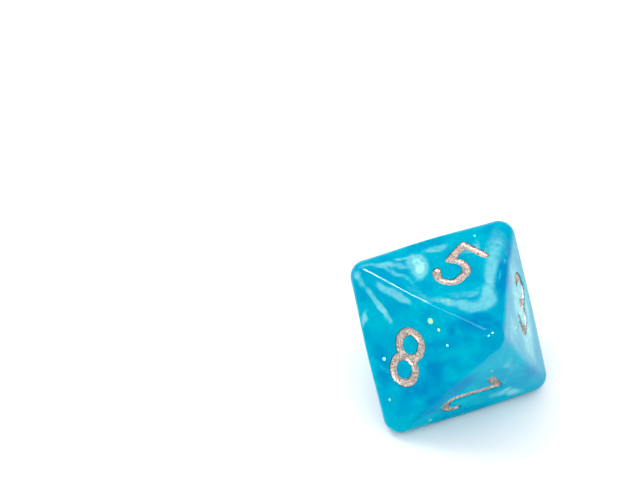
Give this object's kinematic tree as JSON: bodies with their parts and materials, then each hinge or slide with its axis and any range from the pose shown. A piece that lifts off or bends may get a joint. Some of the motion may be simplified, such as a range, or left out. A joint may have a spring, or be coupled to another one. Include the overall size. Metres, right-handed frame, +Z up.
{
  "type": "eight-sided die",
  "caption": "Octahedral gaming die in swirled translucent blue resin, with rounded edges and recessed, painted numerals; rolled to give a random number.",
  "frame": {"origin": "centre of the face it lies on, the one with the 4", "axes": "+Z up through the middle of the face with the 5; +Y the upright direction of that 5; +X to its right"},
  "size_m": [0.018, 0.0198, 0.015],
  "materials": {
    "resin": "polished cast resin, cyan blue with pearly white swirls",
    "numeral_paint": "metallic rose copper paint, fine grained",
    "green_glitter": "pale green pearlescent flake",
    "cyan_glitter": "bright cyan pearlescent flake"
  },
  "bodies": {
    "root": {"die_body": "resin", "numeral_1_paint": "numeral_paint", "numeral_2_paint": "numeral_paint", "numeral_3_paint": "numeral_paint", "numeral_4_paint": "numeral_paint", "numeral_5_paint": "numeral_paint", "numeral_6_paint": "numeral_paint", "numeral_7_paint": "numeral_paint", "numeral_8_paint": "numeral_paint", "six_underline_paint": "numeral_paint", "green_glitter_flakes": "green_glitter", "cyan_glitter_flakes": "cyan_glitter"}
  },
  "joints": []
}
